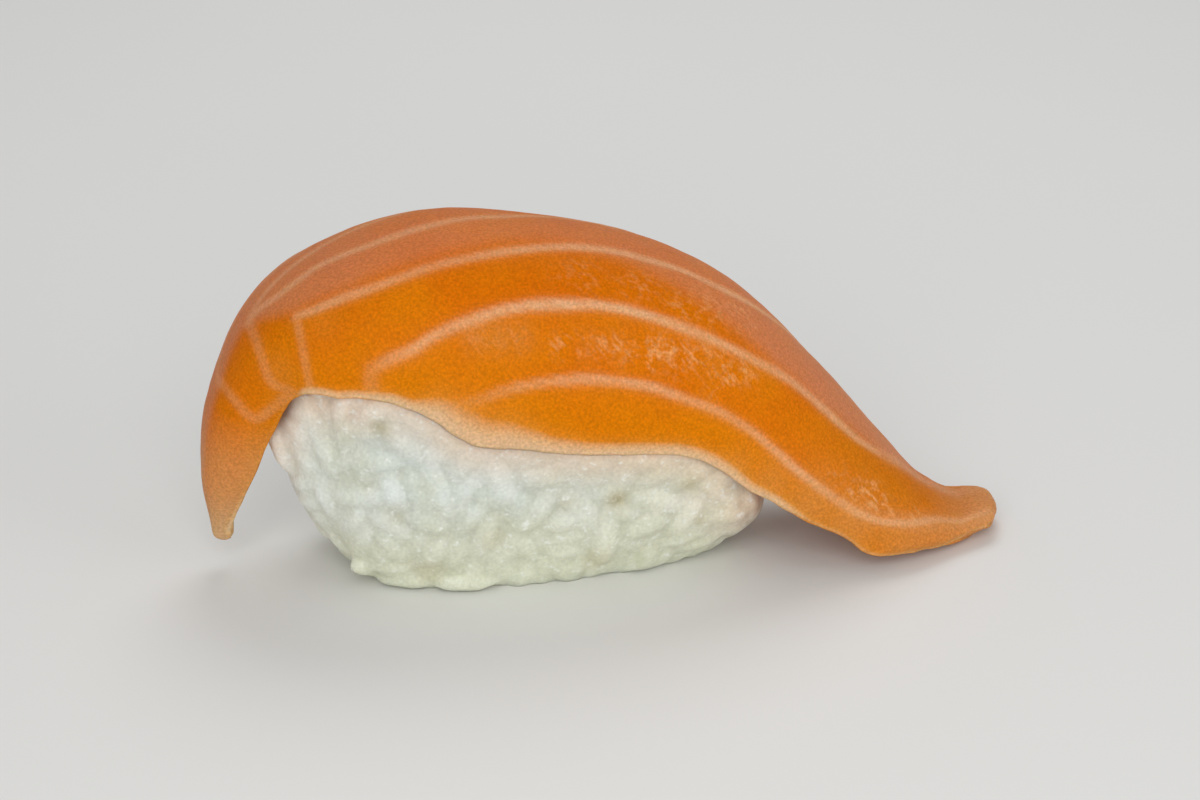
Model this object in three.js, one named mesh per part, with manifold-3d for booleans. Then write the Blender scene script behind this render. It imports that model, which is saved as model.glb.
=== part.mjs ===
// Salmon nigiri: a long slice of raw salmon draped over a hand-pressed ball of sushi rice.
// Millimetres, +Z up, +X along the slice from its pointed tip to its tail; the origin is on the resting plane
// under the middle of the object. The two pieces are the slice, and the rice with its outer grains fused on.
import * as THREE from "three";
import { mergeVertices } from "three/addons/utils/BufferGeometryUtils.js";
import Module from "manifold-3d";

const wasm = await Module();
wasm.setup();

// ---------------------------------------------------------------- driving dimensions, millimetres

const FIT_GAP = 0.3; // between the slice and everything that it lies on

// The slice's ribs from its pointed tip to its tail: the crest of the outer face (x, z), its near edge
// (x, y, z), its far edge (y, z), and the thickness at the crest.
const RIBS = [
  [-39.6, 3.6, -37.9, -0.8, 4.2, 1.6, 4.2, 2.2],
  [-40.4, 10.0, -36.3, -3.6, 10.0, 4.2, 10.2, 3.8],
  [-39.4, 18.0, -33.7, -6.4, 17.4, 6.9, 18.4, 4.6],
  [-36.0, 25.8, -32.1, -9.0, 21.2, 9.3, 23.2, 5.0],
  [-29.3, 31.6, -28.8, -11.4, 22.4, 11.6, 24.3, 5.2],
  [-19.5, 35.1, -21.0, -13.2, 20.6, 13.3, 23.4, 5.2],
  [-8.5, 34.7, -11.5, -14.4, 17.4, 14.5, 20.0, 5.2],
  [2.5, 32.0, -1.5, -14.6, 15.9, 14.6, 19.0, 5.2],
  [12.8, 26.7, 7.5, -13.6, 14.2, 13.7, 17.2, 5.0],
  [21.6, 17.8, 14.5, -12.2, 8.7, 12.2, 11.2, 4.8],
  [28.3, 10.0, 21.0, -11.6, 4.4, 9.0, 5.6, 4.3],
  [33.5, 4.35, 26.0, -12.1, 1.7, 4.2, 1.9, 3.6],
  [39.2, 3.2, 37.9, -6.5, 1.5, 1.3, 2.4, 3.3],
];
const OUTER_POWER = 0.92; // exponent of the ribs' quarter ellipse: below 1 is squarer
const UNDER_POWER = 1.1; // the same for the underside, so that the slice is thickest at its shoulders
const EDGE_SHARE = 0.14; // the edges' thickness as a share of the crest's
const EDGE_MOST = 0.35; // the most of the way in to the crest that an edge's thickness takes up
const SLICE_STEPS = [44, 14]; // along the slice and from edge to edge
const COARSE_STEPS = [26, 10]; // the same for the hollow that it leaves in the rice
const EDGE_STEPS = 3; // steps round an edge and over an end

// The ball of rice, whose plan and sections are superellipses and whose underside is pressed flat. Pairs are
// values at its left end and at its right end. A power of 2 makes an ellipse, and a higher one is squarer.
const RICE_LENGTH = 49.0;
const RICE_CENTRE_X = -8.6;
const RICE_CENTRE_Y = 0.3;
const RICE_WIDTH = [27.2, 25.4];
const RICE_TOP = 31.0; // inside the slice, which trims the ball from above
const RICE_WAIST = [15.4, 7.1]; // height of the widest line
const RICE_PRESSED = [6.0, 1.8]; // how far the round underside would reach below the resting plane
const PLAN_POWER = [2.5, 2.95];
const KEEL_POWER = [1.8, 2.95]; // of the underside along the ball
const SECTION_POWER = 2.6; // of the sections above the waist
const FOOT_POWER = [2.5, 2.0]; // of the sections below it
const RICE_RINGS = 22;
const RICE_AROUND = 24;

// One cooked grain, an ellipsoid with few sides.
const GRAIN_LENGTH = 6.4;
const GRAIN_WIDTH = 2.7;
const GRAIN_SIDES = 5;
const GRAIN_RINGS = 4;
const GRAIN_SIZE_SPREAD = 0.14;
const GRAIN_DEPTH = 0.3; // from the ball's surface in to the grain's axis
const GRAIN_LEAN = 0.2; // radians that a grain may lean out of the surface
const GRAIN_PLACES = 250; // spread over the whole ball, and used where they are in the open
const GRAIN_NUDGES = [0, 0.07, 0.14, 0.21]; // radians down the ball that clear the slice
const GRAIN_SHORTER = 0.08; // share that a grain loses with each nudge
const SEED = 7;

const SALMON_COLOUR = 0xd9781c;
const RICE_COLOUR = 0xd6d8cc;

// ---------------------------------------------------------------- small helpers

// The value at t, from 0 to 1, on a Catmull-Rom spline through evenly spaced rows of numbers.
function spline(rows, t) {
  const last = rows.length - 1;
  const place = THREE.MathUtils.clamp(t, 0, 1) * last;
  const i = Math.min(Math.floor(place), last - 1);
  const w = place - i;
  return rows[i].map((p1, k) => {
    const p2 = rows[i + 1][k];
    const p0 = i > 0 ? rows[i - 1][k] : 2 * p1 - p2;
    const p3 = i + 2 <= last ? rows[i + 2][k] : 2 * p2 - p1;
    const v0 = (p2 - p0) / 2;
    const v1 = (p3 - p1) / 2;
    return (2 * p1 - 2 * p2 + v0 + v1) * w ** 3 + (3 * p2 - 3 * p1 - 2 * v0 - v1) * w ** 2 + v0 * w + p1;
  });
}

// A repeatable stream of numbers from 0 to 1.
function randomStream(seed) {
  let state = seed;
  return () => {
    state = (state * 1664525 + 1013904223) % 4294967296;
    return state / 4294967296;
  };
}

// sin or cos raised to a power with its sign kept, for superellipses.
const signedPower = (value, power) => Math.sign(value) * Math.abs(value) ** power;

// A closed geometry from rings of points, each anticlockwise seen from the last ring's side. A flat ladder of
// quads closes each end: its rungs join the points whose numbers in the ring add up to rungSum.
function ringsGeometry(rings, rungSum) {
  const around = rings[0].length;
  const index = [];
  const addQuad = (a, b, c, d) => index.push(a, b, d, b, c, d);
  const at = (ring, i) => ring * around + ((i + around) % around);
  for (let i = 0; i < around; i++) {
    for (let ring = 1; ring < rings.length; ring++) {
      addQuad(at(ring - 1, i), at(ring - 1, i + 1), at(ring, i + 1), at(ring, i));
    }
  }
  const rungs = around / 2;
  const firstRung = (rungSum + 1 - around) / 2;
  for (let i = firstRung; i < firstRung + rungs - 1; i++) {
    const corners = [i, i + 1, rungSum - i - 1, rungSum - i];
    addQuad(...corners.map((corner) => at(rings.length - 1, corner)));
    addQuad(...corners.reverse().map((corner) => at(0, corner)));
  }
  return new THREE.BufferGeometry().setFromPoints(rings.flat()).setIndex(index);
}

// A closed geometry as a solid that can be joined and cut.
function solidOf(geometry) {
  const bare = geometry.clone();
  bare.deleteAttribute("normal");
  bare.deleteAttribute("uv");
  const merged = mergeVertices(bare, 1e-4);
  const vertProperties = merged.attributes.position.array;
  const triVerts = new Uint32Array(merged.index.array);
  return new wasm.Manifold(new wasm.Mesh({ numProp: 3, vertProperties, triVerts }));
}

// The largest separate body of a solid, without loose scraps and without sealed hollows.
function largestBody(solid) {
  return solid.decompose().reduce((a, b) => (b.volume() > a.volume() ? b : a));
}

function geometryOf(solid) {
  const mesh = solid.getMesh();
  const geometry = new THREE.BufferGeometry();
  geometry.setAttribute("position", new THREE.BufferAttribute(mesh.vertProperties, 3));
  geometry.setIndex(new THREE.BufferAttribute(mesh.triVerts, 1));
  geometry.computeVertexNormals();
  return geometry;
}

// ---------------------------------------------------------------- the slice of salmon

// A point of a rib that falls from its crest to one edge in a quarter ellipse, at a share of the way.
function ribPoint(crestX, crestZ, edge, share, power) {
  const turn = (share * Math.PI) / 2;
  const across = Math.sin(turn) ** power;
  const fall = 1 - Math.cos(turn) ** power;
  const x = crestX + (edge.x - crestX) * fall;
  const z = crestZ + (edge.z - crestZ) * fall;
  return new THREE.Vector3(x, edge.y * across, z);
}

// A point of the outer face: s runs from the pointed tip, 0, to the tail, 1, and v from the near edge, -1,
// over the crest, 0, to the far edge, 1.
function outerFace(s, v) {
  const [crestX, crestZ, edgeX, nearY, nearZ, farY, farZ] = spline(RIBS, s);
  const edge = v > 0 ? new THREE.Vector3(edgeX, farY, farZ) : new THREE.Vector3(edgeX, nearY, nearZ);
  return ribPoint(crestX, crestZ, edge, Math.abs(v), OUTER_POWER);
}

// Directions at a point of the outer face: along the slice, and out of it.
function outerFrame(s, v) {
  const step = 1e-3;
  const clamp = THREE.MathUtils.clamp;
  const along = outerFace(clamp(s + step, 0, 1), v).sub(outerFace(clamp(s - step, 0, 1), v)).normalize();
  const across = outerFace(s, clamp(v + step, -1, 1)).sub(outerFace(s, clamp(v - step, -1, 1)));
  const out = new THREE.Vector3().crossVectors(along, across).normalize();
  return { along, out };
}

// The point of the underside below a point of the outer face. Clearance makes the slice that much thicker.
function underFace(s, v, clearance) {
  const thickness = spline(RIBS, s)[7];
  const crest = outerFace(s, 0).addScaledVector(outerFrame(s, 0).out, -thickness - clearance);
  const edge = outerFace(s, Math.sign(v));
  const edgeThickness = Math.min(thickness * EDGE_SHARE, Math.abs(edge.y) * EDGE_MOST);
  edge.y -= Math.sign(v) * (edgeThickness + clearance);
  return ribPoint(crest.x, crest.z, edge, Math.abs(v), UNDER_POWER);
}

// Points of the half circle that joins two points by way of a direction, without the two themselves.
function roundEdge(from, to, outwards) {
  const middle = from.clone().lerp(to, 0.5);
  const radius = from.distanceTo(to) / 2;
  const points = [];
  for (let k = 1; k < EDGE_STEPS; k++) {
    const turn = (Math.PI * k) / EDGE_STEPS;
    const point = middle.clone().lerp(from, Math.cos(turn));
    points.push(point.addScaledVector(outwards, radius * Math.sin(turn)));
  }
  return points;
}

// The number that the places in a section's ring of two points face to face across the slice add up to.
const rungSumOf = (across) => 2 * across + EDGE_STEPS;

// The closed outline of the slice's section at s: the outer face, a rounded edge, the underside back, and the
// other rounded edge. Clearance grows it on every side, but it never goes below the resting plane.
function sliceRing(s, across, clearance) {
  const outer = [];
  const under = [];
  for (let i = 0; i <= across; i++) {
    const v = 1 - (2 * i) / across;
    outer.push(outerFace(s, v).addScaledVector(outerFrame(s, v).out, clearance));
    under.unshift(underFace(s, v, clearance));
  }
  const nearWidth = outer.at(-1).clone().sub(under[0]);
  const farWidth = outer[0].clone().sub(under.at(-1));
  const nearOut = new THREE.Vector3().crossVectors(outerFrame(s, -1).along, nearWidth).normalize();
  const farOut = new THREE.Vector3().crossVectors(farWidth, outerFrame(s, 1).along).normalize();
  const nearEdge = roundEdge(outer.at(-1), under[0], nearOut);
  const farEdge = roundEdge(under.at(-1), outer[0], farOut);
  const ring = [...outer, ...nearEdge, ...under, ...farEdge];
  for (const point of ring) point.z = Math.max(point.z, 0);
  return ring;
}

// The rings that round off one end of the slice, from its last section outwards.
function sliceEnd(s, sense, across, clearance) {
  const ring = sliceRing(s, across, clearance);
  const around = ring.length;
  const opposite = (i) => ring[(rungSumOf(across) - i + around) % around];
  const middles = ring.map((point, i) => point.clone().lerp(opposite(i), 0.5));
  const outwards = outerFrame(s, 0).along.multiplyScalar(sense);
  const bulge = spline(RIBS, s)[7] / 2 + clearance;
  const rings = [];
  for (let k = 1; k < EDGE_STEPS; k++) {
    const turn = (Math.PI * k) / (2 * EDGE_STEPS);
    const shift = outwards.clone().multiplyScalar(bulge * Math.sin(turn));
    rings.push(ring.map((point, i) => middles[i].clone().lerp(point, Math.cos(turn)).add(shift)));
  }
  return rings;
}

function sliceGeometry([along, across], clearance) {
  const rings = sliceEnd(0, -1, across, clearance).reverse();
  for (let i = 0; i <= along; i++) rings.push(sliceRing(i / along, across, clearance));
  rings.push(...sliceEnd(1, 1, across, clearance));
  return ringsGeometry(rings, rungSumOf(across));
}

// ---------------------------------------------------------------- the ball of rice

const roundness = (along, power) => Math.max(0, 1 - Math.abs(along) ** power) ** (1 / power);

// A point of the bare ball: lengthwise runs from the left end, 0, to the right end, 1, and turn goes round
// it from the far side, over the top.
function ricePoint(lengthwise, turn) {
  const along = -Math.cos(lengthwise * Math.PI);
  const here = ([left, right]) => THREE.MathUtils.lerp(left, right, (along + 1) / 2);
  const waist = here(RICE_WAIST);
  const halfWidth = (here(RICE_WIDTH) / 2) * roundness(along, here(PLAN_POWER));
  const above = (RICE_TOP - waist) * roundness(along, here(PLAN_POWER));
  const below = (waist + here(RICE_PRESSED)) * roundness(along, here(KEEL_POWER));
  const power = Math.sin(turn) > 0 ? SECTION_POWER : here(FOOT_POWER);
  const up = signedPower(Math.sin(turn), 2 / power);
  const across = signedPower(Math.cos(turn), 2 / power);
  return new THREE.Vector3(
    RICE_CENTRE_X + (along * RICE_LENGTH) / 2,
    RICE_CENTRE_Y + across * halfWidth,
    waist + up * (up > 0 ? above : below),
  );
}

function riceBallGeometry() {
  const geometry = new THREE.SphereGeometry(1, RICE_AROUND, RICE_RINGS);
  const position = geometry.attributes.position;
  for (let i = 0; i < position.count; i++) {
    const lengthwise = Math.acos(THREE.MathUtils.clamp(position.getY(i), -1, 1)) / Math.PI;
    const point = ricePoint(lengthwise, Math.atan2(position.getZ(i), position.getX(i)));
    position.setXYZ(i, point.x, point.y, point.z);
  }
  return geometry;
}

// One grain that lies on the ball: heading is its direction in the surface, and lean tips it out of it.
function grainSolid({ lengthwise, turn, heading, lean, size }) {
  const STEP = 1e-3;
  const point = ricePoint(lengthwise, turn);
  const along = ricePoint(lengthwise + STEP, turn).sub(point).normalize();
  const around = ricePoint(lengthwise, turn + STEP).sub(point).normalize();
  const out = new THREE.Vector3().crossVectors(around, along).normalize();
  const axis = along.clone().applyAxisAngle(out, heading);
  axis.addScaledVector(out, Math.sin(lean)).normalize();
  const side = new THREE.Vector3().crossVectors(out, axis).normalize();
  const place = new THREE.Matrix4().makeBasis(side, axis, new THREE.Vector3().crossVectors(side, axis));
  place.setPosition(point.addScaledVector(out, -GRAIN_DEPTH));
  const geometry = new THREE.SphereGeometry(size / 2, GRAIN_SIDES, GRAIN_RINGS);
  geometry.scale(GRAIN_WIDTH, GRAIN_LENGTH, GRAIN_WIDTH);
  return solidOf(geometry.applyMatrix4(place));
}

// The places of the grains on a spiral that spreads them evenly, the largest grain first.
function grainPlaces() {
  const GOLDEN_TURN = Math.PI * (3 - Math.sqrt(5));
  const random = randomStream(SEED);
  const places = [];
  for (let i = 0; i < GRAIN_PLACES; i++) {
    places.push({
      lengthwise: Math.acos(1 - (2 * i + 1) / GRAIN_PLACES) / Math.PI,
      turn: (i * GOLDEN_TURN) % (2 * Math.PI),
      heading: random() * Math.PI,
      lean: GRAIN_LEAN * (2 * random() - 1),
      size: 1 + GRAIN_SIZE_SPREAD * (2 * random() - 1),
    });
  }
  return places.sort((a, b) => b.size - a.size);
}

// A grain at its place, or moved down the ball and shortened until it clears the slice, or none.
function clearGrain(place, keepOut) {
  const down = -Math.sign(Math.cos(place.turn));
  for (const nudge of GRAIN_NUDGES) {
    const size = place.size - GRAIN_SHORTER * GRAIN_NUDGES.indexOf(nudge);
    const grain = grainSolid({ ...place, turn: place.turn + down * nudge, size });
    if (grain.intersect(keepOut).isEmpty()) return grain;
  }
  return null;
}

function riceSolid() {
  const keepOut = solidOf(sliceGeometry(COARSE_STEPS, FIT_GAP));
  let rice = largestBody(solidOf(riceBallGeometry()).subtract(keepOut));
  for (const place of grainPlaces()) {
    const grain = clearGrain(place, keepOut);
    if (grain && !grain.intersect(rice).isEmpty()) rice = rice.add(grain);
  }
  const FLOOR = 100;
  const floor = new THREE.BoxGeometry(FLOOR, FLOOR, FLOOR).translate(0, 0, -FLOOR / 2);
  return largestBody(rice.subtract(solidOf(floor)));
}

// ---------------------------------------------------------------- the object

const group = new THREE.Group();

function addMesh(name, geometry, colour, roughness) {
  const material = new THREE.MeshStandardMaterial({ color: colour, roughness, metalness: 0 });
  const mesh = new THREE.Mesh(geometry, material);
  mesh.name = name;
  group.add(mesh);
}

addMesh("salmon_slice", sliceGeometry(SLICE_STEPS, 0), SALMON_COLOUR, 0.35);
addMesh("rice", geometryOf(riceSolid()), RICE_COLOUR, 0.45);

export default group;
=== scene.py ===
"""Looks of a salmon nigiri: a slice of raw salmon draped over a pressed ball of sushi rice.

The tables and sizes below are millimetres in the part's own frame, the slice lying along X from its pointed
tip to its tail. Meshes are built in millimetres too, and turned to metres where they become objects."""
import math

import bmesh
import bpy
import numpy as np
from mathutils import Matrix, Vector, noise
from mathutils.bvhtree import BVHTree
from mathutils.kdtree import KDTree


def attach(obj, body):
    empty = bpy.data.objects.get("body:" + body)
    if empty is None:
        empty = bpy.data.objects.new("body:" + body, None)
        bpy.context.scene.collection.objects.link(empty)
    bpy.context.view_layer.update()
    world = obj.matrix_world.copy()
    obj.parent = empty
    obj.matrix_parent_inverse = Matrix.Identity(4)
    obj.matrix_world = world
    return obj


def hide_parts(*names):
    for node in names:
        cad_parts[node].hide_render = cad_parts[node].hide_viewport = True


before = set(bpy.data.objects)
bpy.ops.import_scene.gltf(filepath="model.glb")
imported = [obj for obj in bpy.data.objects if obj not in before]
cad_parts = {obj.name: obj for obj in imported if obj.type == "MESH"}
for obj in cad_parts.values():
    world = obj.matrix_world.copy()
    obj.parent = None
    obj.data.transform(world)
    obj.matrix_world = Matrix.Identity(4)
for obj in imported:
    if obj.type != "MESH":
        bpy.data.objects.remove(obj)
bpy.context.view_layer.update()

MM = 0.001
SEED = 7

# -------- sizes, millimetres

# The slice's ribs from its pointed tip to its tail: the crest of the outer face (x, z), its near edge
# (x, y, z), its far edge (y, z), and the thickness at the crest.
RIBS = np.array([
    [-39.6, 3.6, -37.9, -0.8, 4.2, 1.6, 4.2, 2.2],
    [-40.4, 10.0, -36.3, -3.6, 10.0, 4.2, 10.2, 3.8],
    [-39.4, 18.0, -33.7, -6.4, 17.4, 6.9, 18.4, 4.6],
    [-36.0, 25.8, -32.1, -9.0, 21.2, 9.3, 23.2, 5.0],
    [-29.3, 31.6, -28.8, -11.4, 22.4, 11.6, 24.3, 5.2],
    [-19.5, 35.1, -21.0, -13.2, 20.6, 13.3, 23.4, 5.2],
    [-8.5, 34.7, -11.5, -14.4, 17.4, 14.5, 20.0, 5.2],
    [2.5, 32.0, -1.5, -14.6, 15.9, 14.6, 19.0, 5.2],
    [12.8, 26.7, 7.5, -13.6, 14.2, 13.7, 17.2, 5.0],
    [21.6, 17.8, 14.5, -12.2, 8.7, 12.2, 11.2, 4.8],
    [28.3, 10.0, 21.0, -11.6, 4.4, 9.0, 5.6, 4.3],
    [33.5, 4.35, 26.0, -12.1, 1.7, 4.2, 1.9, 3.6],
    [39.2, 3.2, 37.9, -6.5, 1.5, 1.3, 2.4, 3.3],
])
# How the heights of the near edge and of the crest waver along the slice: place s and height.
NEAR_RIPPLE = np.array([
    [0.00, 0.0], [0.27, -0.1], [0.33, 0.0], [0.35, -0.1], [0.37, 0.4], [0.40, 0.8], [0.42, 0.5], [0.44, 0.2],
    [0.46, -0.7], [0.475, -0.9], [0.50, -0.25], [0.52, -0.1], [0.56, -0.3], [0.60, 0.0], [0.64, 0.05],
    [0.68, -0.3], [0.72, -0.4], [0.74, 0.0], [0.755, 0.2], [0.80, 0.1], [0.83, 0.3], [0.87, 0.6],
    [0.90, 0.3], [0.94, 0.1], [0.965, -0.3], [0.98, -0.15], [1.0, 0.2]])
CREST_RIPPLE = np.array([
    [0.00, 0.0], [0.18, 0.1], [0.22, 0.3], [0.28, 0.25], [0.34, 0.1], [0.38, 0.0], [0.41, -0.15],
    [0.46, 0.0], [0.60, 0.1], [0.66, 0.1], [0.72, 0.2], [0.78, -0.05], [0.82, 0.0], [0.86, 0.25],
    [0.92, 0.3], [0.945, -0.15], [0.96, -0.45], [0.975, -0.1], [1.0, 0.0]])
# How far the edges of the hanging end stand in, compared with the part's own solid: place s and distance.
EDGE_DRIFT = np.array([
    [0.0, 0.0], [0.06, 0.15], [0.12, 0.3], [0.20, 0.5], [0.26, 0.45], [0.32, 0.0], [1.0, 0.0]])
# Exponents of the ribs' quarter ellipse, outside and underneath, and the edges' thickness as a share of the
# crest's and at most as a share of the way in to the crest.
OUTER_POWER = 0.92
UNDER_POWER = 1.1
EDGE_SHARE = 0.14
EDGE_MOST = 0.35

# Fat lines: a width, and places on the outer face, with s from the pointed tip, 0, to the tail, 1, v from the
# near edge, -1, over the crest, 0, to the far edge, 1, and the strength there.
FAT_LINES = [
    (0.82, [
        (0.434, -0.99, 0.10), (0.452, -0.92, 0.15), (0.471, -0.863, 0.25), (0.486, -0.828, 0.38),
        (0.501, -0.806, 0.50), (0.515, -0.788, 0.60), (0.53, -0.771, 0.68), (0.545, -0.756, 0.74),
        (0.56, -0.747, 0.80), (0.59, -0.75, 0.82), (0.61, -0.76, 0.78), (0.626, -0.776, 0.75),
        (0.645, -0.787, 0.62), (0.664, -0.79, 0.55), (0.685, -0.79, 0.58), (0.706, -0.785, 0.65),
        (0.731, -0.792, 0.75), (0.757, -0.81, 0.80), (0.784, -0.813, 0.66), (0.81, -0.812, 0.58),
        (0.839, -0.812, 0.68), (0.865, -0.763, 0.75), (0.886, -0.663, 0.72), (0.93, -0.465, 0.62),
        (0.985, -0.51, 0.50), (1.0, -0.53, 0.40)]),
    (1.90, [
        (0.83, -0.81, 0.08), (0.85, -0.78, 0.20), (0.88, -0.67, 0.25), (0.915, -0.53, 0.25),
        (0.945, -0.48, 0.22), (1.0, -0.54, 0.2)]),
    (0.98, [
        (0.383, -0.866, 0.30), (0.390, -0.843, 0.45), (0.406, -0.791, 0.62), (0.419, -0.746, 0.78),
        (0.430, -0.698, 0.84), (0.441, -0.656, 0.80), (0.452, -0.614, 0.80), (0.466, -0.569, 0.88),
        (0.481, -0.532, 1.0), (0.496, -0.511, 1.05), (0.51, -0.495, 1.1), (0.525, -0.483, 1.1),
        (0.54, -0.471, 1.1), (0.554, -0.463, 1.12), (0.57, -0.457, 1.15), (0.585, -0.46, 1.1),
        (0.60, -0.468, 1.0), (0.616, -0.475, 0.92), (0.634, -0.48, 0.86), (0.65, -0.482, 0.84),
        (0.669, -0.477, 0.80), (0.687, -0.459, 0.76), (0.706, -0.43, 0.72), (0.726, -0.406, 0.75),
        (0.749, -0.39, 0.78), (0.771, -0.374, 0.78), (0.797, -0.35, 0.72), (0.824, -0.30, 0.60)]),
    (1.6, [
        (0.81, -0.33, 0.10), (0.835, -0.26, 0.40), (0.865, -0.16, 0.42), (0.90, -0.08, 0.38),
        (0.94, -0.04, 0.25), (0.97, -0.03, 0.10)]),
    (1.30, [
        (0.384, -1.0, 0.24), (0.382, -0.96, 0.24), (0.381, -0.915, 0.24), (0.383, -0.866, 0.26)]),
    (1.00, [
        (0.313, -0.446, 0.60), (0.329, -0.458, 0.66), (0.348, -0.454, 0.66), (0.366, -0.449, 0.66),
        (0.385, -0.437, 0.64), (0.406, -0.402, 0.62), (0.429, -0.355, 0.56), (0.452, -0.31, 0.58),
        (0.481, -0.255, 0.74), (0.511, -0.207, 0.80), (0.541, -0.166, 0.80), (0.571, -0.135, 0.78),
        (0.60, -0.122, 0.76), (0.619, -0.115, 0.76), (0.64, -0.125, 0.76), (0.662, -0.11, 0.76),
        (0.682, -0.075, 0.74), (0.705, -0.02, 0.7), (0.725, 0.03, 0.7), (0.76, 0.12, 0.7), (0.83, 0.28, 0.7),
        (0.90, 0.45, 0.7), (0.97, 0.65, 0.6), (1.0, 0.8, 0.5)]),
    (0.90, [
        (0.308, -0.98, 0.28), (0.309, -0.88, 0.28), (0.310, -0.77, 0.28), (0.311, -0.666, 0.28),
        (0.312, -0.554, 0.32), (0.313, -0.446, 0.40)]),
    (1.05, [
        (0.259, -0.137, 0.4), (0.271, -0.131, 0.5), (0.28, -0.143, 0.5), (0.296, -0.165, 0.55),
        (0.314, -0.157, 0.6), (0.326, -0.143, 0.6), (0.341, -0.12, 0.6), (0.361, -0.12, 0.6),
        (0.382, -0.117, 0.6), (0.41, -0.077, 0.6), (0.437, -0.037, 0.6), (0.464, 0.01, 0.6),
        (0.495, 0.065, 0.6), (0.55, 0.17, 0.6), (0.62, 0.23, 0.6), (0.70, 0.32, 0.6), (0.78, 0.48, 0.6),
        (0.86, 0.70, 0.6), (0.93, 1.0, 0.6)]),
    (0.95, [
        (0.26, -0.97, 0.26), (0.255, -0.94, 0.26), (0.241, -0.83, 0.28), (0.243, -0.72, 0.28),
        (0.25, -0.606, 0.28), (0.256, -0.469, 0.30), (0.259, -0.31, 0.32), (0.259, -0.137, 0.35)]),
    (1.00, [
        (0.262, -0.10, 0.35), (0.28, -0.03, 0.42), (0.294, 0.01, 0.48), (0.31, 0.05, 0.48),
        (0.34, 0.10, 0.48), (0.37, 0.14, 0.48), (0.42, 0.22, 0.48), (0.48, 0.32, 0.48), (0.56, 0.40, 0.48),
        (0.64, 0.47, 0.48), (0.72, 0.58, 0.48), (0.80, 0.80, 0.48), (0.86, 1.0, 0.48)]),
    (1.00, [
        (0.25, -0.974, 0.28), (0.213, -0.954, 0.28), (0.189, -0.90, 0.30), (0.173, -0.83, 0.30),
        (0.176, -0.71, 0.30), (0.186, -0.554, 0.30), (0.193, -0.354, 0.30), (0.194, -0.11, 0.30),
        (0.21, 0.08, 0.34), (0.25, 0.20, 0.4), (0.31, 0.30, 0.4), (0.38, 0.38, 0.4), (0.44, 0.47, 0.4),
        (0.51, 0.60, 0.4), (0.58, 0.68, 0.4), (0.66, 0.78, 0.4), (0.73, 1.0, 0.4)]),
    (0.95, [
        (0.10, 1.0, 0.4), (0.14, 0.66, 0.42), (0.21, 0.50, 0.45), (0.29, 0.55, 0.45), (0.36, 0.63, 0.45),
        (0.43, 0.74, 0.45), (0.49, 0.87, 0.45), (0.54, 1.0, 0.45)]),
    (0.95, [
        (0.21, 1.0, 0.35), (0.25, 0.84, 0.4), (0.31, 0.81, 0.4), (0.37, 0.88, 0.4), (0.42, 1.0, 0.4)]),
]

# Broken pale flecks between the lines, and soft pale patches of the flesh: place, reach and strength.
FLECKS = [
    (0.47, -0.645, 1.6, 0.30), (0.49, -0.63, 1.6, 0.35), (0.527, -0.648, 1.1, 0.6),
    (0.538, -0.638, 1.1, 0.6), (0.549, -0.633, 1.1, 0.6), (0.56, -0.625, 1.1, 0.6),
    (0.571, -0.612, 1.2, 0.7), (0.58, -0.63, 1.2, 0.7), (0.60, -0.60, 1.3, 1.0), (0.608, -0.60, 1.3, 1.0),
    (0.60, -0.65, 1.0, 0.9), (0.625, -0.60, 1.4, 0.8), (0.64, -0.59, 1.4, 0.8), (0.653, -0.577, 1.4, 0.8),
    (0.665, -0.61, 1.3, 0.8), (0.678, -0.55, 1.2, 0.7), (0.654, -0.70, 1.1, 0.5), (0.62, -0.65, 1.3, 0.5),
    (0.79, -0.70, 1.1, 0.7), (0.82, -0.70, 1.2, 1.0), (0.83, -0.64, 1.2, 1.0), (0.842, -0.655, 1.2, 1.0),
    (0.855, -0.67, 1.1, 1.0), (0.866, -0.65, 1.0, 0.7), (0.90, -0.52, 1.2, 0.6), (0.54, -0.34, 2.2, 0.3),
    (0.585, -0.33, 2.2, 0.4), (0.62, -0.38, 2.2, 0.5), (0.64, -0.30, 2.4, 0.5), (0.67, -0.25, 2.4, 0.4),
    (0.56, 0.30, 2.6, 0.5), (0.62, 0.36, 2.4, 0.6), (0.44, 0.62, 2.4, 0.5), (0.50, 0.74, 2.0, 0.6),
    (0.68, 0.50, 2.2, 0.6)]
PATCHES = [
    (0.467, -0.645, 1.6, 0.25), (0.482, -0.63, 1.6, 0.28), (0.497, -0.635, 1.4, 0.25),
    (0.55, -0.63, 1.5, 0.15), (0.572, -0.62, 1.5, 0.15), (0.605, -0.60, 1.4, 0.15), (0.65, -0.59, 1.8, 0.12),
    (0.70, -0.97, 2.0, 0.30), (0.74, -0.96, 3.0, 0.40), (0.79, -0.95, 4.0, 0.50), (0.84, -0.93, 4.0, 0.50),
    (0.90, -0.80, 3.5, 0.40), (0.34, -0.58, 1.6, 0.10), (0.265, -0.75, 1.8, 0.15), (0.60, 0.60, 6.0, 0.25),
    (0.40, 0.55, 5.0, 0.25)]

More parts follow.
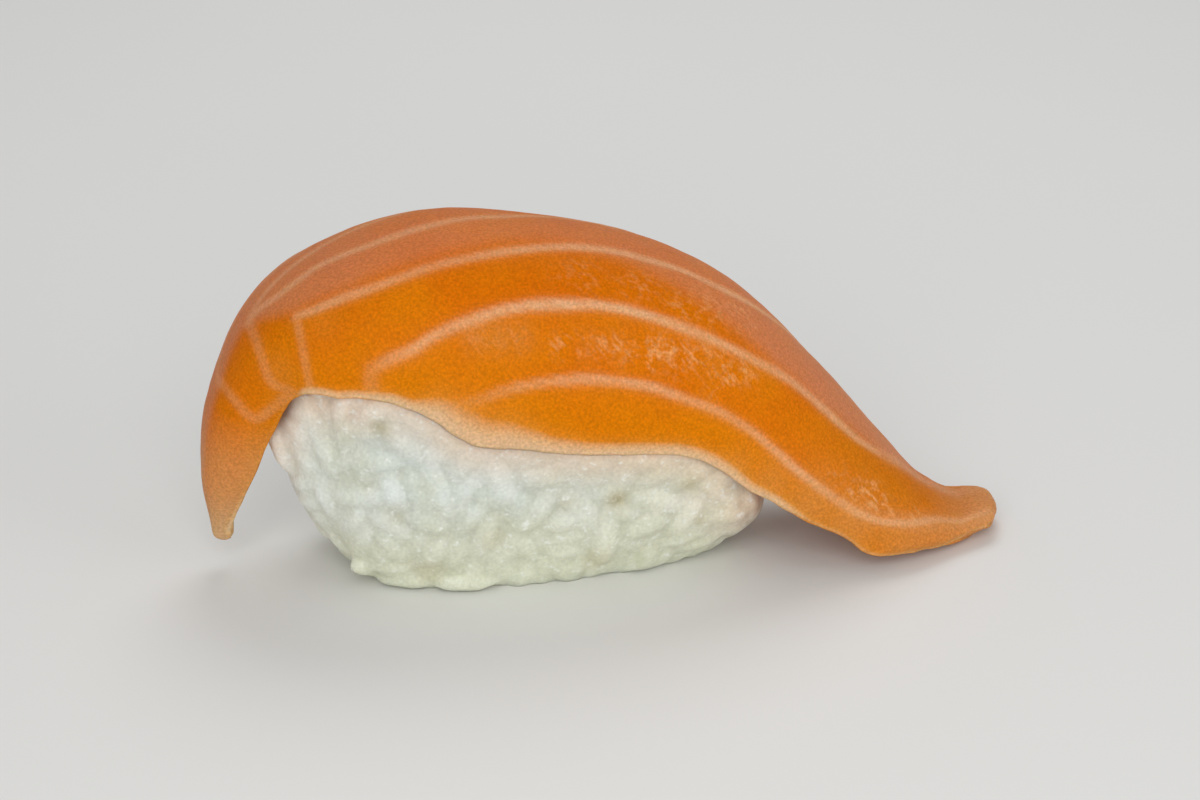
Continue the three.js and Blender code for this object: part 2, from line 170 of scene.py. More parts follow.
# A painted sheen, a greyish pink veil along the crest, up to the fat line next to it: s, the share of the way
# to the edges, and how strong it is. It reaches a little past that share, and fades out over another.
CREST_PAINTED_SHEEN = np.array([
    [0.0, 0.12, 0.4], [0.10, 0.3, 0.5], [0.20, 0.3, 0.6], [0.25, 0.22, 0.6], [0.29, 0.38, 0.6],
    [0.313, 0.44, 0.62], [0.366, 0.44, 0.6], [0.406, 0.39, 0.45], [0.452, 0.31, 0.42], [0.481, 0.25, 0.42],
    [0.511, 0.22, 0.42], [0.541, 0.22, 0.45], [0.58, 0.25, 0.5], [0.62, 0.32, 0.5], [0.66, 0.40, 0.6],
    [0.70, 0.44, 0.7], [0.75, 0.42, 0.75], [0.80, 0.36, 0.75], [0.85, 0.30, 0.8], [0.90, 0.2, 0.6],
    [1.0, 0.15, 0.3]])
CREST_WIDTH = 1.1
CREST_FADE = 0.16

# How far the slice's edge pales over the rice: s, and the reach on the near side and on the far side. With a
# reach under the full one it pales less, too.
PALE_EDGE = np.array([
    [0.0, 0.6, 0.6], [0.08, 0.2, 0.2], [0.26, 0.2, 0.3], [0.29, 0.55, 0.6], [0.38, 0.55, 0.7],
    [0.42, 0.9, 0.9], [0.44, 2.0, 1.2], [0.47, 2.7, 1.4], [0.50, 2.3, 1.8], [0.53, 1.4, 1.6],
    [0.57, 1.0, 1.3], [0.62, 1.0, 1.1], [0.68, 1.0, 1.0], [0.73, 0.7, 1.0], [0.76, 0.6, 0.5],
    [0.80, 0.3, 0.3], [1.0, 0.3, 0.3]])
PALE_FULL_REACH = 0.6
# How pale the whole flesh turns towards the two tips: s and strength.
PALE_TIPS = np.array([
    [0.0, 0.9], [0.03, 0.7], [0.07, 0.45], [0.12, 0.28], [0.17, 0.0], [0.90, 0.0], [0.95, 0.2], [1.0, 0.4]])

# The ball of rice, whose plan and sections are superellipses and whose underside is pressed flat. Pairs are
# values at its left end and at its right end. A power of 2 makes an ellipse, and a higher one is squarer.
RICE_LENGTH = 49.0
RICE_CENTRE = (-8.6, 0.3)
RICE_WIDTH = (27.2, 25.4)
RICE_TOP = 31.0
RICE_WAIST = (15.4, 7.1)
RICE_PRESSED = (6.0, 1.8)
PLAN_POWER = (2.5, 2.95)
KEEL_POWER = (1.8, 2.95)
SECTION_POWER = 2.6
FOOT_POWER = (2.5, 2.0)

# Peach stains on the rice, where it takes the salmon's colour, and small brownish pits: place, reach and
# strength. Distances in Y count less.
STAINS = [
    (-29.5, -10.5, 21.5, 3.5, 0.9), (-26.0, -11.5, 21.0, 3.0, 0.7), (-21.5, -12.5, 20.0, 3.0, 0.45),
    (15.0, -7.0, 8.0, 5.0, 1.0), (10.5, -10.5, 11.0, 4.0, 0.5), (6.0, -12.0, 14.5, 3.5, 0.25),
    (15.0, 6.0, 9.0, 5.5, 0.8), (-28.0, 11.0, 21.0, 4.0, 0.6)]
PITS = [
    (-0.9, -12.3, 10.1, 1.0, 1.0), (-23.7, -12.3, 18.8, 1.0, 0.8), (-24.9, -12.3, 12.1, 0.8, 0.4),
    (-22.4, -12.3, 9.1, 1.2, 0.4), (-13.1, -12.3, 6.7, 1.5, 0.4), (-5.9, -12.3, 10.3, 1.3, 0.4),
    (6.3, -12.0, 10.9, 0.9, 0.5), (7.7, -11.8, 6.6, 0.8, 0.5), (-19.2, -11.5, 2.4, 1.5, 0.5),
    (-2.5, -11.0, 3.0, 1.3, 0.5), (-14.0, 13.2, 12.0, 1.1, 0.8), (-24.0, 12.0, 7.5, 1.2, 0.6),
    (2.0, 12.6, 8.0, 1.0, 0.8), (-4.0, 13.0, 14.0, 1.3, 0.4), (-32.4, 1.0, 12.0, 1.0, 0.7),
    (15.5, 2.0, 6.0, 1.0, 0.5)]
PLACE_WEIGHTS = (1, 0.35, 1)

# Grains that stand proud of the ball at its foot and its left end: the middle and the direction of each.
PROUD_GRAINS = [
    ((-24.2, -6.3, 1.9), (0.6, 0.6, -0.3)), ((-20.9, -8.2, 1.25), (0.93, -0.3, 0.0)),
    ((-15.4, -9.7, 1.2), (1.0, -0.1, 0.0)), ((3.2, -7.4, 1.3), (0.9, 0.4, 0.0)),
    ((-32.6, -3.5, 14.3), (-0.35, 0.2, 0.9)), ((-20.0, 8.4, 1.2), (0.9, 0.3, 0.0)),
    ((-6.0, 9.0, 1.1), (0.8, -0.5, 0.0)), ((8.4, 6.4, 1.6), (0.6, -0.7, 0.2))]

GRAIN_LENGTH = 6.4
GRAIN_WIDTH = 2.75
GRAIN_THICKNESS = 2.3
# Grains are pushed apart, by a share of the way in each round, until they lie this far apart.
GRAIN_SPACING = 2.35
PUSHES = 70
PUSH_SHARE = 0.25

# -------- general shapes


def spline(rows, t):
    """Catmull-Rom through evenly spaced rows, at each t from 0 to 1, as the part's own solids have it."""
    rows = np.asarray(rows, float)
    ends = np.vstack([2 * rows[0] - rows[1], rows, 2 * rows[-1] - rows[-2]])
    place = np.clip(t, 0, 1) * (len(rows) - 1)
    i = np.minimum(place.astype(int), len(rows) - 2)
    w = (place - i)[..., None]
    p0, p1, p2, p3 = (ends[i + k] for k in range(4))
    v0, v1 = (p2 - p0) / 2, (p3 - p1) / 2
    return (2 * p1 - 2 * p2 + v0 + v1) * w**3 + (3 * p2 - 3 * p1 - 2 * v0 - v1) * w**2 + v0 * w + p1


def unit(vectors):
    return vectors / np.maximum(np.linalg.norm(vectors, axis=-1, keepdims=True), 1e-12)


def rise(value, start, reach):
    """0 up to a start and 1 past a reach from there, with a smooth step between."""
    share = np.clip((value - start) / reach, 0, 1)
    return share * share * (3 - 2 * share)


def smooth_noise(points, size, seed):
    """A soft random value, about -1 to 1, at each point, with bumps of about that size."""
    shift = Vector((seed, 2.3 * seed, -1.7 * seed))
    return np.array([noise.noise(Vector(p) / size + shift) for p in points])


def rib_values(s):
    """Each value of RIBS at s, with the wavering heights."""
    values = list(np.moveaxis(spline(RIBS, s), -1, 0))
    values[1] = values[1] + np.interp(s, *CREST_RIPPLE.T)
    values[2] = values[2] + np.interp(s, *EDGE_DRIFT.T)
    values[4] = values[4] + np.interp(s, *NEAR_RIPPLE.T)
    return values


def rib_point(crest_x, crest_z, edge_x, edge_y, edge_z, share, power):
    """Points of ribs that fall from the crest to one edge in a quarter ellipse, at a share of the way."""
    turn = share * math.pi / 2
    across = np.sin(turn) ** power
    fall = 1 - np.clip(np.cos(turn), 0, 1) ** power
    x = crest_x + (edge_x - crest_x) * fall
    z = crest_z + (edge_z - crest_z) * fall
    return np.stack([x, edge_y * across, z], -1)


def outer_face(s, v):
    """Points of the slice's outer face."""
    s, v = np.broadcast_arrays(np.asarray(s, float), np.asarray(v, float))
    crest_x, crest_z, edge_x, near_y, near_z, far_y, far_z, _ = rib_values(s)
    edge_y = np.where(v > 0, far_y, near_y)
    edge_z = np.where(v > 0, far_z, near_z)
    return rib_point(crest_x, crest_z, edge_x, edge_y, edge_z, np.abs(v), OUTER_POWER)


def outer_frame(s, v, step=1e-3):
    """Directions along the slice and out of it, at places of the outer face."""
    along = unit(outer_face(np.minimum(s + step, 1), v) - outer_face(np.maximum(s - step, 0), v))
    across = outer_face(s, np.minimum(v + step, 1)) - outer_face(s, np.maximum(v - step, -1))
    return along, unit(np.cross(along, across))


def under_face(s, v):
    """The points of the underside below places of the outer face."""
    s, v = np.broadcast_arrays(np.asarray(s, float), np.asarray(v, float))
    *_, thickness = rib_values(s)
    middle = np.zeros_like(v)
    crest = outer_face(s, middle) - outer_frame(s, middle)[1] * thickness[..., None]
    edge = outer_face(s, np.where(v > 0, 1.0, -1.0))
    edge_thickness = np.minimum(thickness * EDGE_SHARE, np.abs(edge[..., 1]) * EDGE_MOST)
    edge_y = edge[..., 1] - np.sign(v) * edge_thickness
    return rib_point(crest[..., 0], crest[..., 2], edge[..., 0], edge_y, edge[..., 2], np.abs(v), UNDER_POWER)


def roundness(along, power):
    return np.maximum(0, 1 - np.abs(along) ** power) ** (1 / power)


def rice_point(lengthwise, turn):
    """Points of the bare ball of rice."""
    along = -np.cos(lengthwise * math.pi)
    here = lambda pair: pair[0] + (pair[1] - pair[0]) * (along + 1) / 2
    waist = here(RICE_WAIST)
    half_width = here(RICE_WIDTH) / 2 * roundness(along, here(PLAN_POWER))
    above = (RICE_TOP - waist) * roundness(along, here(PLAN_POWER))
    below = (waist + here(RICE_PRESSED)) * roundness(along, here(KEEL_POWER))
    power = np.where(np.sin(turn) > 0, SECTION_POWER, here(FOOT_POWER))
    up = np.sign(np.sin(turn)) * np.abs(np.sin(turn)) ** (2 / power)
    across = np.sign(np.cos(turn)) * np.abs(np.cos(turn)) ** (2 / power)
    return np.stack([
        RICE_CENTRE[0] + along * RICE_LENGTH / 2 + 0 * turn,
        RICE_CENTRE[1] + across * half_width,
        waist + up * np.where(up > 0, above, below),
    ], -1)


def rice_out(lengthwise, turn, step=1e-3):
    """Points of the bare ball and the directions out of it."""
    point = rice_point(lengthwise, turn)
    along = unit(rice_point(lengthwise + step, turn) - point)
    return point, unit(np.cross(rice_point(lengthwise, turn + step) - point, along))


# -------- meshes

# A loose bit with fewer points than this is a scrap.
SCRAP_SIZE = 200


def new_object(name, points, faces):
    mesh = bpy.data.meshes.new(name)
    mesh.from_pydata((np.asarray(points) * MM).tolist(), [], faces)
    mesh.update()
    piece = bpy.data.objects.new(name, mesh)
    bpy.context.scene.collection.objects.link(piece)
    return piece


def points_of(mesh):
    flat = np.empty(len(mesh.vertices) * 3)
    mesh.vertices.foreach_get("co", flat)
    return flat.reshape(-1, 3) / MM


def normals_of(mesh):
    flat = np.empty(len(mesh.vertices) * 3)
    mesh.vertex_normals.foreach_get("vector", flat)
    return flat.reshape(-1, 3)


def faces_of(mesh):
    return [tuple(face.vertices) for face in mesh.polygons]


def surface_tree(mesh):
    return BVHTree.FromPolygons([Vector(p) for p in points_of(mesh)], faces_of(mesh))


def move_points(mesh, points):
    mesh.vertices.foreach_set("co", (points * MM).ravel())
    mesh.update()


def add_attributes(mesh, amounts):
    for name, values in amounts.items():
        mesh.attributes.new(name, "FLOAT", "POINT").data.foreach_set("value", np.asarray(values, float))


def shade_smooth(mesh):
    mesh.polygons.foreach_set("use_smooth", [True] * len(mesh.polygons))
    mesh.update()


def apply_modifiers(piece):
    """Gives a piece the mesh that its modifiers make of it, and removes them."""
    evaluated = piece.evaluated_get(bpy.context.evaluated_depsgraph_get())
    old = piece.data
    piece.data = bpy.data.meshes.new_from_object(evaluated)
    piece.modifiers.clear()
    bpy.data.meshes.remove(old)


def cut(piece, cutter):
    """Cuts a closed mesh out of a piece, and removes the cutter."""
    boolean = piece.modifiers.new("cut", "BOOLEAN")
    boolean.operation = "DIFFERENCE"
    boolean.object = cutter
    boolean.solver = "MANIFOLD"
    apply_modifiers(piece)
    bpy.data.objects.remove(cutter)


def drop_scraps(piece):
    """Takes away the small loose bits that a cut can leave."""
    mesh = bmesh.new()
    mesh.from_mesh(piece.data)
    seen, scraps = set(), []
    for start in mesh.verts:
        if start in seen:
            continue
        seen.add(start)
        part = [start]
        for vertex in part:
            for edge in vertex.link_edges:
                other = edge.other_vert(vertex)
                if other not in seen:
                    seen.add(other)
                    part.append(other)
        if len(part) < SCRAP_SIZE:
            scraps += part
    bmesh.ops.delete(mesh, geom=scraps, context="VERTS")
    mesh.to_mesh(piece.data)
    mesh.free()


def nearest(points, targets):
    """For each point, which target is nearest, and how far it is."""
    tree = KDTree(len(targets))
    for i, p in enumerate(targets):
        tree.insert(p, i)
    tree.balance()
    found = [tree.find(p) for p in points]
    return np.array([f[1] for f in found]), np.array([f[2] for f in found])


def bell(away, reach):
    """1 at no distance, fading to nearly 0 at twice the reach."""
    return np.exp(-(away / reach) ** 2)


# -------- the slice of salmon

# How finely the slice is divided along it, over its outer face, and round each rim.
SLICE_ALONG = 340
SLICE_ACROSS = 110
EDGE_STEPS = 9

# How far the slice's ends are drawn in at their corners, and how much flatter the tail's is on its near side.
END_CORNER = 0.45
NEAR_END_FLATTER = 0.5

# The tail's far rim is evened out: rounds, strength, and from which s and v on, over which reach.
EVENING_ROUNDS = 90
EVENING_STRENGTH = 0.8
EVENED_S = (0.88, 0.06)
EVENED_V = (0.2, 0.3)

# The slice's relief: height, size and seed of the broad waves and of the fine ones, and the depth of the
# grooves that the fat lies in.
BROAD_HEIGHT, BROAD_SIZE, BROAD_SEED = 0.22, 9.0, 1.3
FINE_HEIGHT, FINE_SIZE, FINE_SEED = 0.035, 1.6, 5.9
FAT_GROOVE = 0.10
# Its rim is ragged, most so at the tail: the height, how closely that keeps to the rim, the least share, from
# which s on and over which reach it grows, and what the tail's rounded end adds.
RAGGED_HEIGHT = 0.22
RAGGED_POWER = 8
RAGGED_LEAST = 0.25
RAGGED_FROM, RAGGED_OVER = 0.9, 0.1
RAGGED_AT_END = 0.6

# From which v or s on, and over which reach, the colours of the side, its lowest part and the tail set in.
SIDE_V = (0.2, 0.4)
LOW_V = (0.7, 0.25)
TAIL_S = (0.7, 0.15)

# Into how many places each fat line and each edge is divided.
LINE_SAMPLES = 500
EDGE_SAMPLES = 800
# A fat line is wider on its lower side, its width wavers by a share, and a higher power makes it crisper. The
# flesh changes colour within a reach on its two sides, which a higher contrast parts more sharply.
LOWER_WIDTH, UPPER_WIDTH = 1.15, 0.9
WAVER_SHARE, WAVER_SIZE, WAVER_SEED = 0.25, 5.0, 3.1
FAT_POWER = 4.5
LOWER_REACH, UPPER_REACH = 2.6, 2.2
SIDE_CONTRAST = 2
# A distance that something is divided by is at least this.
LEAST_AWAY = 0.01


def round_edge(start, end, outwards):
    """Half circles from start to end by way of a direction, without their ends: rings x steps x 3."""
    middle = (start + end) / 2
    radius = np.linalg.norm(start - end, axis=-1, keepdims=True) / 2
    steps = []
    for k in range(1, EDGE_STEPS):
        turn = math.pi * k / EDGE_STEPS
        steps.append(middle + (start - middle) * math.cos(turn) + outwards * radius * math.sin(turn))
    return np.stack(steps, 1)


def slice_rings():
    """The slice's sections as rings of points, with s and v at each point."""
    s = np.linspace(0, 1, SLICE_ALONG + 1)[:, None]
    v = np.linspace(1, -1, SLICE_ACROSS + 1)[None, :]
    s_grid, v_grid = np.broadcast_arrays(s, v)
    along = outer_frame(s_grid, v_grid)[0]
    outer = outer_face(s_grid, v_grid)
    under = under_face(s_grid, v_grid)[:, ::-1]
    near_out = unit(np.cross(along[:, -1], outer[:, -1] - under[:, 0]))
    far_out = unit(np.cross(outer[:, 0] - under[:, -1], along[:, 0]))
    near = round_edge(outer[:, -1], under[:, 0], near_out)
    far = round_edge(under[:, -1], outer[:, 0], far_out)
    rings = np.concatenate([outer, near, under, far], 1)
    edge = np.ones((SLICE_ALONG + 1, EDGE_STEPS - 1))
    v_ring = np.concatenate([v_grid, -edge, v_grid[:, ::-1], edge], 1)
    s_ring = np.broadcast_to(s, v_ring.shape)
    return rings, s_ring, v_ring


def slice_end(ring, v, s, sense):
    """Rings that round off one end of the slice, outwards from its last section."""
    around = len(ring)
    opposite = ring[(2 * SLICE_ACROSS + EDGE_STEPS - np.arange(around)) % around]
    middles = (ring + opposite) / 2
    centre = ring.mean(0)
    along = outer_frame(np.array(s), np.array(0.0))[0] * sense
    *_, thickness = rib_values(np.array(s))
    bulge = thickness / 2 * (1 - NEAR_END_FLATTER * s * np.clip(-v, 0, 1))[:, None]
    rings = []
    for k in range(1, EDGE_STEPS):
        turn = math.pi * k / (2 * EDGE_STEPS)
        thinner = middles + (ring - middles) * math.cos(turn)
        corner = 1 - (1 - math.cos(turn)) * END_CORNER
        rings.append(centre + (thinner - centre) * corner + along * bulge * math.sin(turn))
    return rings


def slice_faces(ring_count, around):
    """Quads between the rings, and rungs that close the first and the last one."""
    faces = []
    for ring in range(ring_count - 1):
        base, above = ring * around, (ring + 1) * around
        for i in range(around):
            j = (i + 1) % around
            faces.append((base + i, base + j, above + j, above + i))
    rung_sum = 2 * SLICE_ACROSS + EDGE_STEPS
    first = (rung_sum + 1 - around) // 2
    last_base = (ring_count - 1) * around
    for i in range(first, first + around // 2 - 1):
        corners = [k % around for k in (i, i + 1, rung_sum - i - 1, rung_sum - i)]
        faces.append([last_base + k for k in corners])
        faces.append(corners[::-1])
    return faces


def evened(rings, amount):
    """Rings of points evened out along and around the slice, by an amount at each point."""
    for _ in range(EVENING_ROUNDS):
        along = np.concatenate([rings[:1], rings[:-1]]) + np.concatenate([rings[1:], rings[-1:]])
        across = np.roll(rings, 1, 1) + np.roll(rings, -1, 1)
        rings = rings + EVENING_STRENGTH * amount[..., None] * ((along + across) / 4 - rings)
    return rings


def whole_slice():
    """The slice's points and faces without relief, with s and v at each point."""
    rings, s_ring, v_ring = slice_rings()
    tip = slice_end(rings[0], v_ring[0], 0.0, -1)[::-1]
    tail = slice_end(rings[-1], v_ring[-1], 1.0, 1)
    points = np.concatenate([np.array(tip), rings, np.array(tail)])
    count, around = points.shape[:2]
    s = np.concatenate([np.zeros((len(tip), around)), s_ring, np.ones((len(tail), around))])
    v = np.concatenate([np.repeat(v_ring[:1], len(tip), 0), v_ring, np.repeat(v_ring[-1:], len(tail), 0)])
    points = evened(points, rise(s, *EVENED_S) * rise(v, *EVENED_V))
    return points.reshape(-1, 3), slice_faces(count, around), s.ravel(), v.ravel()


def fat_amounts(points):
    """The fat at each point, the pale flesh below each line and the dark flesh above it."""
    fat, pale, dark = np.zeros((3, len(points)))
    waver = smooth_noise(points, WAVER_SIZE, WAVER_SEED)
    for width, places in FAT_LINES:
        places = spline(places, np.linspace(0, 1, LINE_SAMPLES))
        s, v = np.clip(places[:, 0], 0, 1), np.clip(places[:, 1], -1, 1)
        line = outer_face(s, v)
        inwards = unit(np.cross(np.gradient(line, axis=0), outer_frame(s, v)[1]))
        i, away = nearest(points, line)
        side = np.einsum("ij,ij->i", points - line[i], inwards[i]) / np.maximum(away, LEAST_AWAY)
        strong = np.clip(places[:, 2], 0, None)[i]
        half = width / 2 * (1 + WAVER_SHARE * waver)
        reach = np.where(side > 0, LOWER_WIDTH, UPPER_WIDTH) * half
        fat = np.maximum(fat, strong / (1 + (away / reach) ** FAT_POWER))
        pale = np.maximum(pale, strong * bell(away, LOWER_REACH) * np.clip(side * SIDE_CONTRAST, 0, 1))
        dark = np.maximum(dark, strong * bell(away, UPPER_REACH) * np.clip(-side * SIDE_CONTRAST, 0, 1))
    return fat, pale, dark


def spots_amount(points, spots):
    """A strength at each point that fades away from some places of the outer face."""
    amount = np.zeros(len(points))
    for s, v, reach, strength in spots:
        away = np.linalg.norm(points - outer_face(s, v), axis=1)
        amount = np.maximum(amount, strength * bell(away, reach))
    return amount


def edge_paleness(points, s):
    """How pale the flesh is at each point because it is near one of the slice's edges."""
    pale = np.zeros(len(points))
    for column, side in ((1, -1.0), (2, 1.0)):
        reach = np.interp(s, PALE_EDGE[:, 0], PALE_EDGE[:, column])
        away = nearest(points, outer_face(np.linspace(0, 1, EDGE_SAMPLES), side))[1]
        pale = np.maximum(pale, bell(away, reach) * np.clip(reach / PALE_FULL_REACH, 0, 1))
    return pale


def build_slice():
    points, faces, s, v = whole_slice()
    piece = new_object("salmon_slice_flesh", points, faces)
    mesh = piece.data
    fat, pale, dark = fat_amounts(points)
    broad = smooth_noise(points, BROAD_SIZE, BROAD_SEED)
    fine = smooth_noise(points, FINE_SIZE, FINE_SEED)
    near_tail = np.clip((s - RAGGED_FROM) / RAGGED_OVER, RAGGED_LEAST, 1)
    ragged = near_tail * np.abs(v) ** RAGGED_POWER + RAGGED_AT_END * (s >= 1)
    relief = BROAD_HEIGHT * broad + FINE_HEIGHT * fine - FAT_GROOVE * fat + RAGGED_HEIGHT * ragged * fine
    points = points + normals_of(mesh) * relief[:, None]
    points[:, 2] = np.maximum(points[:, 2], 0)
    move_points(mesh, points)
    shade_smooth(mesh)
    painted_sheen_reach, painted_sheen = (np.interp(s, CREST_PAINTED_SHEEN[:, 0], CREST_PAINTED_SHEEN[:, k]) for k in (1, 2))
    add_attributes(mesh, {
        "fat": fat,
        "inner": pale,
        "outer": dark,
        "fleck": spots_amount(points, FLECKS),
        "patch": spots_amount(points, PATCHES),
        "tip": np.interp(s, *PALE_TIPS.T),
        "pale": edge_paleness(points, s),
        # crest: how strong the painted sheen is along the crest.
        "crest": painted_sheen * rise(CREST_WIDTH * painted_sheen_reach - np.abs(v), 0, CREST_FADE),
        "side": rise(np.abs(v), *SIDE_V),
        "low": rise(np.abs(v), *LOW_V),
        "tail": rise(s, *TAIL_S),
    })
    return piece


# -------- the rice

# How finely one grain and the ball are divided: rings and points round each, and places along a grain.
GRAIN_RINGS, GRAIN_AROUND = 10, 12
BALL_RINGS, BALL_AROUND = 60, 72
GRAIN_SAMPLES = 5

# Powers below 1 make a grain blunter than an ellipsoid, along it and across. Its hollow has a place, as a
# share of its half length, and a reach.
GRAIN_BLUNT_ALONG, GRAIN_BLUNT_ACROSS = 0.85, 0.8
HOLLOW_PLACE, HOLLOW_REACH = 0.75, 0.2
PROUD_BEND, PROUD_HOLLOW = 0.15, 0.2

# Two layers of grains: how many, and how deep their middles lie under the ball's surface.
GRAIN_LAYERS = [(330, 0.95), (270, 1.25)]
# The least and most of a grain's length, as a share of GRAIN_LENGTH, its bend and its hollow.
GRAIN_LENGTHS = (0.82, 1.08)
GRAIN_BENDS = (0.1, 0.45)
GRAIN_HOLLOWS = (0.1, 0.35)
# How unevenly grains are dropped, tilted and sunk, the lowest that their middles lie, and the least gap.
DROP_SPREAD = 1.0
TILT_SPREAD = 0.07
DEPTH_SPREAD = 0.15
LOWEST_MIDDLE = 0.9
LEAST_GAP = 0.05

# The grains are fused with a core that lies under the ball's surface by an inset.
VOXEL = 0.30
SOFTENING = 0.5
SOFTENING_ROUNDS = 7
CORE_INSET = 0.32
# Small lumps of the fused grains: height, size and seed.
LUMPS = [(0.05, 1.5, 4.2), (0.04, 0.7, 8.8)]

# The rice swells out to lie flush with the slice's edges: from which s to which, how strongly, at most by
# which share of the way, the reach, and how far above the edges it still does so.
SWELL_FROM, SWELL_TO, SWELL_SAMPLES = 0.24, 0.8, 500
SWELL = 1.2
SWELL_MOST = 0.98
SWELL_REACH = 4.0
SWELL_ABOVE = 0.8
# The gap under the slice, and half the size of the block that takes away what is below the floor.
FIT_GAP = 0.03
FLOOR_CUT_HALF = 60.0

# The rice takes the salmon's colour where they touch: reach and strength, close by and further off, measured
# from every third point of the slice.
TOUCH_NEAR = (1.0, 1.0)
TOUCH_FAR = (2.8, 0.65)
TOUCH_EVERY = 3
# The ball is painted lighter towards its ends, against their shade, from a distance from its middle on and
# over a reach, cooler left of an X and above a height, over a reach each, and yellower and painted lighter
# against the shade near the floor up to the foot's height.
END_LIGHT_FROM, END_LIGHT_REACH = 17, 7
COOL_LEFT_OF, COOL_REACH = 8, 25
COOL_ABOVE, COOL_RISE = 3, 9
FOOT_HEIGHT = 9
# How high over the ball's surface the tops of the grains lie.
GRAIN_TOP = 0.4


def grain(centre, axis, side, up, length, bend, hollow):
    """Points of one cooked grain: a bent, blunt ellipsoid with a small hollow at one end."""
    points = []
    for i in range(GRAIN_RINGS + 1):
        t = math.pi * i / GRAIN_RINGS
        x = -math.copysign(abs(math.cos(t)) ** GRAIN_BLUNT_ALONG, math.cos(t))
        r = math.sin(t) ** GRAIN_BLUNT_ACROSS if 0 < i < GRAIN_RINGS else 0.0
        r *= 1 - hollow * math.exp(-((x - HOLLOW_PLACE) / HOLLOW_REACH) ** 2)
        for k in range(GRAIN_AROUND):
            a = 2 * math.pi * k / GRAIN_AROUND
            local_y = r * math.cos(a) * GRAIN_WIDTH / 2
            local_z = r * math.sin(a) * GRAIN_THICKNESS / 2 - bend * x * x
            points.append(centre + axis * x * length / 2 + side * local_y + up * local_z)
            if r == 0:
                break
    return points


def grain_faces(first):
    """The faces of a grain whose points start at a number."""
    ring = lambda i, k: first + 1 + (i - 1) * GRAIN_AROUND + k % GRAIN_AROUND
    end = first + 1 + (GRAIN_RINGS - 1) * GRAIN_AROUND
    faces = []
    for k in range(GRAIN_AROUND):
        faces.append((first, ring(1, k + 1), ring(1, k)))
        faces.append((end, ring(GRAIN_RINGS - 1, k), ring(GRAIN_RINGS - 1, k + 1)))
        for i in range(1, GRAIN_RINGS - 1):
            faces.append((ring(i, k), ring(i, k + 1), ring(i + 1, k + 1), ring(i + 1, k)))
    return faces


def settle_grains(random, ball, count, depth):
    """Grains laid on the ball at a depth under its surface, and pushed apart until they lie side by side."""
    tree = surface_tree(ball.data)
    areas = np.array([f.area for f in ball.data.polygons])
    middles = np.array([f.center for f in ball.data.polygons]) / MM
    dropped = middles[random.choice(len(areas), count, p=areas / areas.sum())]
    middle = dropped + random.normal(0, DROP_SPREAD, (count, 3))
    axis = unit(random.normal(size=(count, 3)))
    length = GRAIN_LENGTH * random.uniform(*GRAIN_LENGTHS, count)
    reach = ((length - GRAIN_WIDTH) / 2)[:, None]
    owner = np.repeat(np.arange(count), 3)
    others = owner[:, None] != owner[None]
    for _ in range(PUSHES):
        found = [tree.find_nearest(Vector(p)) for p in middle]
        middle = np.array([f[0] for f in found])
        out = np.array([f[1] for f in found])
        middle[:, 2] = np.maximum(middle[:, 2], LOWEST_MIDDLE)
        axis = unit(axis - out * np.einsum("ij,ij->i", axis, out)[:, None])
        balls = np.stack([middle - axis * reach, middle, middle + axis * reach], 1).reshape(-1, 3)
        gap = balls[:, None] - balls[None]
        away = np.linalg.norm(gap, axis=-1)
        close = (away < GRAIN_SPACING) & others
        push = np.where(close, (GRAIN_SPACING - away) / np.maximum(away, LEAST_GAP), 0.0)
        moves = (gap * push[..., None]).sum(1).reshape(count, 3, 3) * PUSH_SHARE
        middle = middle + moves.mean(1)
        axis = axis + (moves[:, 2] - moves[:, 0]) / (2 * reach)
    axis = unit(axis + out * random.normal(0, TILT_SPREAD, (count, 1)))
    side = unit(np.cross(out, axis))
    centre = middle - out * (depth + DEPTH_SPREAD * random.normal(size=count))[:, None]
    bend = random.uniform(*GRAIN_BENDS, count)
    hollow = random.uniform(*GRAIN_HOLLOWS, count)
    return [(centre[i], axis[i], side[i], np.cross(axis[i], side[i]), length[i], bend[i], hollow[i])
            for i in range(count)]


def proud_grains():
    grains = []
    for middle, axis in np.array(PROUD_GRAINS):
        axis = unit(axis)
        side = unit(np.cross((0, 0, 1), axis))
        grains.append((middle, axis, side, np.cross(axis, side), GRAIN_LENGTH, PROUD_BEND, PROUD_HOLLOW))
    return grains


def ball_object(name, inset):
    """The bare ball, smaller by an inset, as a closed mesh."""
    lengthwise = np.linspace(0, 1, BALL_RINGS + 1)[1:-1, None]
    turn = np.linspace(0, 2 * math.pi, BALL_AROUND, endpoint=False)[None]
    point, out = rice_out(*np.broadcast_arrays(lengthwise, turn))
    points = (point - out * inset).reshape(-1, 3)
    ends = rice_point(np.array([0.0, 1.0]), np.array([0.0, 0.0])) + np.array([[inset, 0, 0], [-inset, 0, 0]])
    count = len(points)
    faces = []
    for k in range(BALL_AROUND):
        j = (k + 1) % BALL_AROUND
        faces.append((count, j, k))
        faces.append((count + 1, count - BALL_AROUND + k, count - BALL_AROUND + j))
        for i in range(BALL_RINGS - 2):
            a, b = i * BALL_AROUND, (i + 1) * BALL_AROUND
            faces.append((a + k, a + j, b + j, b + k))
    return new_object(name, np.vstack([points, ends]), faces)


def fuse(piece, core):
    """Makes one closed, softened surface of a piece and its core."""
    with bpy.context.temp_override(active_object=piece, selected_editable_objects=[piece, core],
                                   selected_objects=[piece, core], object=piece):
        bpy.ops.object.join()
    remesh = piece.modifiers.new("fuse", "REMESH")
    remesh.mode = "VOXEL"
    remesh.voxel_size = VOXEL * MM
    soften = piece.modifiers.new("soften", "SMOOTH")
    soften.factor = SOFTENING
    soften.iterations = SOFTENING_ROUNDS
    apply_modifiers(piece)


